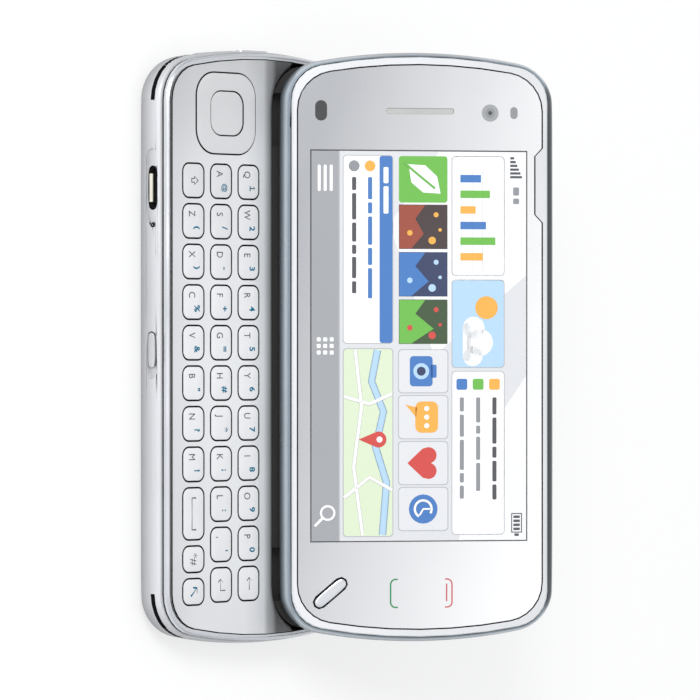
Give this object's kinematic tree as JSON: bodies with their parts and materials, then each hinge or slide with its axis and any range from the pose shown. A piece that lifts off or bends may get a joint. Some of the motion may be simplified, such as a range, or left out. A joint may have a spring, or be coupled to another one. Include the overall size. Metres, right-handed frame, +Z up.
{
  "type": "slider phone",
  "caption": "Slide-and-tilt phone: a touch-screen lid on linked arms, tilted up behind a full keyboard with a direction pad, in a slim rounded base.",
  "frame": {"origin": "middle of the flat underside, on the battery cover's outer face, with the base lying flat", "axes": "+X along the keyboard to the right, +Y away from the user, +Z up; the pose is the open one"},
  "size_m": [0.1173, 0.0767, 0.0435],
  "materials": {
    "shell_plastic": "glossy pale grey-white lacquered plastic",
    "deck_plastic": "satin silver-white painted plastic",
    "key_plastic": "satin white plastic, slightly crowned",
    "chrome_trim": "bright satin chrome plating",
    "lid_steel": "blue-grey metallic, brightest in mid-band",
    "hinge_steel": "satin stainless steel",
    "bezel_plastic": "glossy white plastic",
    "window_glass": "clear window with a white printed border",
    "screen": "lit display module",
    "board": "green circuit board with metal shields",
    "inner_dark": "dark inner plastic and film"
  },
  "bodies": {
    "base": {"base_shell": "shell_plastic", "base_rim": "chrome_trim", "keyboard_deck": "deck_plastic", "dome_sheet": "inner_dark", "hinge_plate": "hinge_steel", "main_board": "board", "battery": "inner_dark", "battery_cover": "shell_plastic", "camera_module": "inner_dark", "usb_socket": "hinge_steel"},
    "main_arms": {"main_arm_left": "hinge_steel", "main_arm_right": "hinge_steel"},
    "guide_arms": {"guide_arm_left": "hinge_steel", "guide_arm_right": "hinge_steel"},
    "lid": {"lid_cover": "lid_steel", "lid_hinge_plate": "hinge_steel", "lid_bezel": "bezel_plastic", "front_window": "window_glass", "display": "screen"},
    "menu_key": {"menu_key": "chrome_trim"},
    "direction_pad": {"direction_pad": "key_plastic"},
    "select_key": {"select_key": "key_plastic"},
    "lens_cover": {"lens_cover": "shell_plastic"},
    "lock_slider": {"lock_slider": "shell_plastic"},
    "power_key": {"power_key": "chrome_trim"},
    "volume_key": {"volume_key": "chrome_trim"},
    "camera_key": {"camera_key": "chrome_trim"},
    "key_shift": {"key_shift": "key_plastic"},
    "key_z": {"key_z": "key_plastic"},
    "key_x": {"key_x": "key_plastic"},
    "key_c": {"key_c": "key_plastic"},
    "key_v": {"key_v": "key_plastic"},
    "key_b": {"key_b": "key_plastic"},
    "key_n": {"key_n": "key_plastic"},
    "key_m": {"key_m": "key_plastic"},
    "key_space": {"key_space": "key_plastic"},
    "key_symbol": {"key_symbol": "key_plastic"},
    "key_function": {"key_function": "key_plastic"},
    "key_a": {"key_a": "key_plastic"},
    "key_s": {"key_s": "key_plastic"},
    "key_d": {"key_d": "key_plastic"},
    "key_f": {"key_f": "key_plastic"},
    "key_g": {"key_g": "key_plastic"},
    "key_h": {"key_h": "key_plastic"},
    "key_j": {"key_j": "key_plastic"},
    "key_k": {"key_k": "key_plastic"},
    "key_l": {"key_l": "key_plastic"},
    "key_comma": {"key_comma": "key_plastic"},
    "key_enter": {"key_enter": "key_plastic"},
    "key_q": {"key_q": "key_plastic"},
    "key_w": {"key_w": "key_plastic"},
    "key_e": {"key_e": "key_plastic"},
    "key_r": {"key_r": "key_plastic"},
    "key_t": {"key_t": "key_plastic"},
    "key_y": {"key_y": "key_plastic"},
    "key_u": {"key_u": "key_plastic"},
    "key_i": {"key_i": "key_plastic"},
    "key_o": {"key_o": "key_plastic"},
    "key_p": {"key_p": "key_plastic"},
    "key_backspace": {"key_backspace": "key_plastic"}
  },
  "joints": [
    {"name": "arm_lift", "type": "hinge", "parent": "base", "child": "main_arms", "pos_m": [0, 0.0234, 0.0078], "axis": [1, 0, 0], "range_deg": [0, 111.22]},
    {"name": "lid_turn", "type": "hinge", "parent": "main_arms", "child": "lid", "pos_m": [0, 0.03096, 0.02535], "axis": [1, 0, 0], "range_deg": [-146.3, 0]},
    {"name": "guide_turn", "type": "hinge", "parent": "base", "child": "guide_arms", "pos_m": [0, 0.0242, 0.006], "axis": [1, 0, 0], "range_deg": [0, 108.5]},
    {"name": "menu_key_press", "type": "slide", "parent": "lid", "child": "menu_key", "axis": [0, 0.5736, -0.8192], "range_m": [0, 0.00025], "stiffness_N_per_m": 300},
    {"name": "pad_rock", "type": "hinge", "parent": "base", "child": "direction_pad", "pos_m": [-0.04575, -0.0109, 0.0068], "axis": [1, 0, 0], "range_deg": [-1.5, 1.5], "stiffness_Nm_per_rad": 0.02},
    {"name": "select_key_press", "type": "slide", "parent": "base", "child": "select_key", "axis": [0, 0, -1], "range_m": [0, 0.00025], "stiffness_N_per_m": 300},
    {"name": "lens_cover_slide", "type": "slide", "parent": "base", "child": "lens_cover", "axis": [0, 1, 0], "range_m": [0, 0.012]},
    {"name": "lock_slide", "type": "slide", "parent": "base", "child": "lock_slider", "axis": [1, 0, 0], "range_m": [0, 0.002], "stiffness_N_per_m": 150},
    {"name": "power_key_press", "type": "slide", "parent": "base", "child": "power_key", "axis": [1, 0, 0], "range_m": [0, 0.0003], "stiffness_N_per_m": 300},
    {"name": "volume_rock", "type": "hinge", "parent": "base", "child": "volume_key", "pos_m": [-0.024, 0.0263, 0.0048], "axis": [0, 0, 1], "range_deg": [-1.2, 1.2], "stiffness_Nm_per_rad": 0.02},
    {"name": "camera_key_press", "type": "slide", "parent": "base", "child": "camera_key", "axis": [0, -1, 0], "range_m": [0, 0.0003], "stiffness_N_per_m": 300},
    {"name": "key_shift_press", "type": "slide", "parent": "base", "child": "key_shift", "axis": [0, 0, -1], "range_m": [0, 0.00025], "stiffness_N_per_m": 300},
    {"name": "key_z_press", "type": "slide", "parent": "base", "child": "key_z", "axis": [0, 0, -1], "range_m": [0, 0.00025], "stiffness_N_per_m": 300},
    {"name": "key_x_press", "type": "slide", "parent": "base", "child": "key_x", "axis": [0, 0, -1], "range_m": [0, 0.00025], "stiffness_N_per_m": 300},
    {"name": "key_c_press", "type": "slide", "parent": "base", "child": "key_c", "axis": [0, 0, -1], "range_m": [0, 0.00025], "stiffness_N_per_m": 300},
    {"name": "key_v_press", "type": "slide", "parent": "base", "child": "key_v", "axis": [0, 0, -1], "range_m": [0, 0.00025], "stiffness_N_per_m": 300},
    {"name": "key_b_press", "type": "slide", "parent": "base", "child": "key_b", "axis": [0, 0, -1], "range_m": [0, 0.00025], "stiffness_N_per_m": 300},
    {"name": "key_n_press", "type": "slide", "parent": "base", "child": "key_n", "axis": [0, 0, -1], "range_m": [0, 0.00025], "stiffness_N_per_m": 300},
    {"name": "key_m_press", "type": "slide", "parent": "base", "child": "key_m", "axis": [0, 0, -1], "range_m": [0, 0.00025], "stiffness_N_per_m": 300},
    {"name": "key_space_press", "type": "slide", "parent": "base", "child": "key_space", "axis": [0, 0, -1], "range_m": [0, 0.00025], "stiffness_N_per_m": 300},
    {"name": "key_symbol_press", "type": "slide", "parent": "base", "child": "key_symbol", "axis": [0, 0, -1], "range_m": [0, 0.00025], "stiffness_N_per_m": 300},
    {"name": "key_function_press", "type": "slide", "parent": "base", "child": "key_function", "axis": [0, 0, -1], "range_m": [0, 0.00025], "stiffness_N_per_m": 300},
    {"name": "key_a_press", "type": "slide", "parent": "base", "child": "key_a", "axis": [0, 0, -1], "range_m": [0, 0.00025], "stiffness_N_per_m": 300},
    {"name": "key_s_press", "type": "slide", "parent": "base", "child": "key_s", "axis": [0, 0, -1], "range_m": [0, 0.00025], "stiffness_N_per_m": 300},
    {"name": "key_d_press", "type": "slide", "parent": "base", "child": "key_d", "axis": [0, 0, -1], "range_m": [0, 0.00025], "stiffness_N_per_m": 300},
    {"name": "key_f_press", "type": "slide", "parent": "base", "child": "key_f", "axis": [0, 0, -1], "range_m": [0, 0.00025], "stiffness_N_per_m": 300},
    {"name": "key_g_press", "type": "slide", "parent": "base", "child": "key_g", "axis": [0, 0, -1], "range_m": [0, 0.00025], "stiffness_N_per_m": 300},
    {"name": "key_h_press", "type": "slide", "parent": "base", "child": "key_h", "axis": [0, 0, -1], "range_m": [0, 0.00025], "stiffness_N_per_m": 300},
    {"name": "key_j_press", "type": "slide", "parent": "base", "child": "key_j", "axis": [0, 0, -1], "range_m": [0, 0.00025], "stiffness_N_per_m": 300},
    {"name": "key_k_press", "type": "slide", "parent": "base", "child": "key_k", "axis": [0, 0, -1], "range_m": [0, 0.00025], "stiffness_N_per_m": 300},
    {"name": "key_l_press", "type": "slide", "parent": "base", "child": "key_l", "axis": [0, 0, -1], "range_m": [0, 0.00025], "stiffness_N_per_m": 300},
    {"name": "key_comma_press", "type": "slide", "parent": "base", "child": "key_comma", "axis": [0, 0, -1], "range_m": [0, 0.00025], "stiffness_N_per_m": 300},
    {"name": "key_enter_press", "type": "slide", "parent": "base", "child": "key_enter", "axis": [0, 0, -1], "range_m": [0, 0.00025], "stiffness_N_per_m": 300},
    {"name": "key_q_press", "type": "slide", "parent": "base", "child": "key_q", "axis": [0, 0, -1], "range_m": [0, 0.00025], "stiffness_N_per_m": 300},
    {"name": "key_w_press", "type": "slide", "parent": "base", "child": "key_w", "axis": [0, 0, -1], "range_m": [0, 0.00025], "stiffness_N_per_m": 300},
    {"name": "key_e_press", "type": "slide", "parent": "base", "child": "key_e", "axis": [0, 0, -1], "range_m": [0, 0.00025], "stiffness_N_per_m": 300},
    {"name": "key_r_press", "type": "slide", "parent": "base", "child": "key_r", "axis": [0, 0, -1], "range_m": [0, 0.00025], "stiffness_N_per_m": 300},
    {"name": "key_t_press", "type": "slide", "parent": "base", "child": "key_t", "axis": [0, 0, -1], "range_m": [0, 0.00025], "stiffness_N_per_m": 300},
    {"name": "key_y_press", "type": "slide", "parent": "base", "child": "key_y", "axis": [0, 0, -1], "range_m": [0, 0.00025], "stiffness_N_per_m": 300},
    {"name": "key_u_press", "type": "slide", "parent": "base", "child": "key_u", "axis": [0, 0, -1], "range_m": [0, 0.00025], "stiffness_N_per_m": 300},
    {"name": "key_i_press", "type": "slide", "parent": "base", "child": "key_i", "axis": [0, 0, -1], "range_m": [0, 0.00025], "stiffness_N_per_m": 300},
    {"name": "key_o_press", "type": "slide", "parent": "base", "child": "key_o", "axis": [0, 0, -1], "range_m": [0, 0.00025], "stiffness_N_per_m": 300},
    {"name": "key_p_press", "type": "slide", "parent": "base", "child": "key_p", "axis": [0, 0, -1], "range_m": [0, 0.00025], "stiffness_N_per_m": 300},
    {"name": "key_backspace_press", "type": "slide", "parent": "base", "child": "key_backspace", "axis": [0, 0, -1], "range_m": [0, 0.00025], "stiffness_N_per_m": 300}
  ],
  "couplings": [
    {"joint": "lid_turn", "follows": "arm_lift", "ratio": -1.3147},
    {"joint": "guide_turn", "follows": "arm_lift", "ratio": 0.97499}
  ]
}
